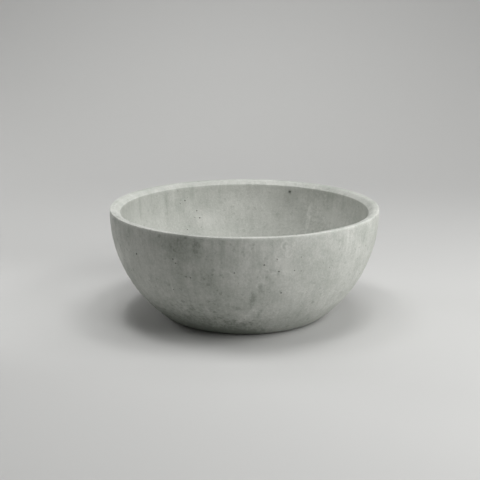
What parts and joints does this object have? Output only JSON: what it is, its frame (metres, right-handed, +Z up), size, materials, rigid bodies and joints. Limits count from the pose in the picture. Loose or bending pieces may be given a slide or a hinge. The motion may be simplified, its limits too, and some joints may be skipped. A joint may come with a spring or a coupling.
{
  "type": "bowl planter",
  "caption": "Round cast-concrete bowl planter with a rounded rim, a flat foot on rubber pads, and a floor drain closed by a pull-out rubber plug.",
  "frame": {"origin": "on the surface that the planter stands on, on the bowl's axis", "axes": "+Z up along the bowl's axis, out of its mouth; the pads lie on the diagonals between X and Y"},
  "size_m": [0.5, 0.5, 0.202],
  "materials": {
    "concrete": "matte",
    "sleeve_plastic": "matte",
    "plug_rubber": "matte",
    "pad_rubber": "matte"
  },
  "bodies": {
    "bowl": {"bowl_shell": "concrete", "drain_sleeve": "sleeve_plastic", "foot_pad_1": "pad_rubber", "foot_pad_2": "pad_rubber", "foot_pad_3": "pad_rubber", "foot_pad_4": "pad_rubber"},
    "plug": {"drain_plug": "plug_rubber"}
  },
  "joints": [
    {"name": "plug_lift", "type": "slide", "parent": "bowl", "child": "plug", "axis": [0, 0, 1], "range_m": [0, 0.21]}
  ]
}
